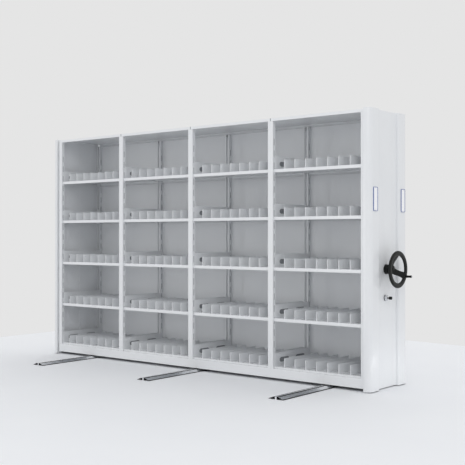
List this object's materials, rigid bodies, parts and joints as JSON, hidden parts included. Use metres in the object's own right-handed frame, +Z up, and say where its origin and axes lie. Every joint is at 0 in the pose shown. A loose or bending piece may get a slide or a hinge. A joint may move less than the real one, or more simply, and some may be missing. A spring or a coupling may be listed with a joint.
{
  "type": "compact mobile shelving",
  "caption": "Mobile shelving carriage with open bays of divider shelves, a plain end panel and a drive end with a handwheel, rolling on floor rails.",
  "frame": {"origin": "on the floor under the middle rail, half way through the carriage's depth", "axes": "+X along the shelving to the drive end, -Y out of the open front, +Z up"},
  "size_m": [3.8757, 1.305, 2.2105],
  "materials": {
    "body_paint": "smooth pale grey powder coat on folded sheet steel",
    "rail_steel": "rolled and zinc plated rail section",
    "bright_steel": "drawn bright steel",
    "cast_iron": "turned cast iron",
    "black_plastic": "moulded black plastic",
    "chrome": "polished chrome plate",
    "key_plastic": "moulded black key head",
    "label_plastic": "moulded blue-grey plastic with a blank card"
  },
  "bodies": {
    "rails": {"rail_left": "rail_steel", "rail_middle": "rail_steel", "rail_right": "rail_steel"},
    "carriage": {"base_frame": "body_paint", "upright_frame_1": "body_paint", "upright_frame_2": "body_paint", "upright_frame_3": "body_paint", "upright_frame_4": "body_paint", "upright_frame_5": "body_paint", "shelf_bay_1_level_1": "body_paint", "shelf_bay_2_level_1": "body_paint", "shelf_bay_3_level_1": "body_paint", "shelf_bay_4_level_1": "body_paint", "shelf_bay_1_level_2": "body_paint", "shelf_bay_2_level_2": "body_paint", "shelf_bay_3_level_2": "body_paint", "shelf_bay_4_level_2": "body_paint", "shelf_bay_1_level_3": "body_paint", "shelf_bay_2_level_3": "body_paint", "shelf_bay_3_level_3": "body_paint", "shelf_bay_4_level_3": "body_paint", "shelf_bay_1_level_4": "body_paint", "shelf_bay_2_level_4": "body_paint", "shelf_bay_3_level_4": "body_paint", "shelf_bay_4_level_4": "body_paint", "shelf_bay_1_level_5": "body_paint", "shelf_bay_2_level_5": "body_paint", "shelf_bay_3_level_5": "body_paint", "shelf_bay_4_level_5": "body_paint", "top_cover_1": "body_paint", "top_cover_2": "body_paint", "top_cover_3": "body_paint", "top_cover_4": "body_paint", "back_panel_1": "body_paint", "back_panel_2": "body_paint", "back_panel_3": "body_paint", "back_panel_4": "body_paint", "drive_end_panel": "body_paint", "drive_end_inner_sheet": "body_paint", "plain_end_panel": "body_paint", "label_holder_front": "label_plastic", "label_holder_rear": "label_plastic", "shaft_housing": "black_plastic", "drive_chain": "bright_steel", "lock_barrel": "chrome"},
    "drive_axle": {"drive_axle": "bright_steel", "lower_sprocket": "bright_steel", "drive_wheel_left": "cast_iron", "drive_wheel_middle": "cast_iron", "drive_wheel_right": "cast_iron"},
    "handwheel": {"handwheel": "black_plastic", "handwheel_shaft": "bright_steel", "upper_sprocket": "bright_steel", "grip_bolt": "bright_steel"},
    "crank_grip": {"crank_grip": "black_plastic"},
    "idle_wheel_left": {"idle_wheel_left": "cast_iron"},
    "idle_wheel_middle": {"idle_wheel_middle": "cast_iron"},
    "idle_wheel_right": {"idle_wheel_right": "cast_iron"},
    "lock_key": {"lock_key": "key_plastic"}
  },
  "joints": [
    {"name": "carriage_slide", "type": "slide", "parent": "rails", "child": "carriage", "axis": [0, -1, 0], "range_m": [0, 0.6]},
    {"name": "drive_axle_spin", "type": "hinge", "parent": "carriage", "child": "drive_axle", "pos_m": [0, 0.19, 0.0603], "axis": [1, 0, 0], "continuous": true},
    {"name": "handwheel_spin", "type": "hinge", "parent": "carriage", "child": "handwheel", "pos_m": [1.8853, 0, 0.948], "axis": [1, 0, 0], "continuous": true},
    {"name": "crank_grip_spin", "type": "hinge", "parent": "handwheel", "child": "crank_grip", "pos_m": [1.8853, 0.11583, 0.88898], "axis": [1, 0, 0], "continuous": true},
    {"name": "idle_wheel_left_spin", "type": "hinge", "parent": "carriage", "child": "idle_wheel_left", "pos_m": [-1.38, -0.19, 0.0603], "axis": [1, 0, 0], "continuous": true},
    {"name": "idle_wheel_middle_spin", "type": "hinge", "parent": "carriage", "child": "idle_wheel_middle", "pos_m": [0, -0.19, 0.0603], "axis": [1, 0, 0], "continuous": true},
    {"name": "idle_wheel_right_spin", "type": "hinge", "parent": "carriage", "child": "idle_wheel_right", "pos_m": [1.38, -0.19, 0.0603], "axis": [1, 0, 0], "continuous": true},
    {"name": "lock_turn", "type": "hinge", "parent": "carriage", "child": "lock_key", "pos_m": [1.7773, -0.01, 0.72], "axis": [1, 0, 0], "range_deg": [0, 90]}
  ],
  "couplings": [
    {"joint": "drive_axle_spin", "follows": "carriage_slide", "rad_per_m": 25},
    {"joint": "handwheel_spin", "follows": "carriage_slide", "rad_per_m": 45},
    {"joint": "idle_wheel_left_spin", "follows": "carriage_slide", "rad_per_m": 25},
    {"joint": "idle_wheel_middle_spin", "follows": "carriage_slide", "rad_per_m": 25},
    {"joint": "idle_wheel_right_spin", "follows": "carriage_slide", "rad_per_m": 25}
  ]
}
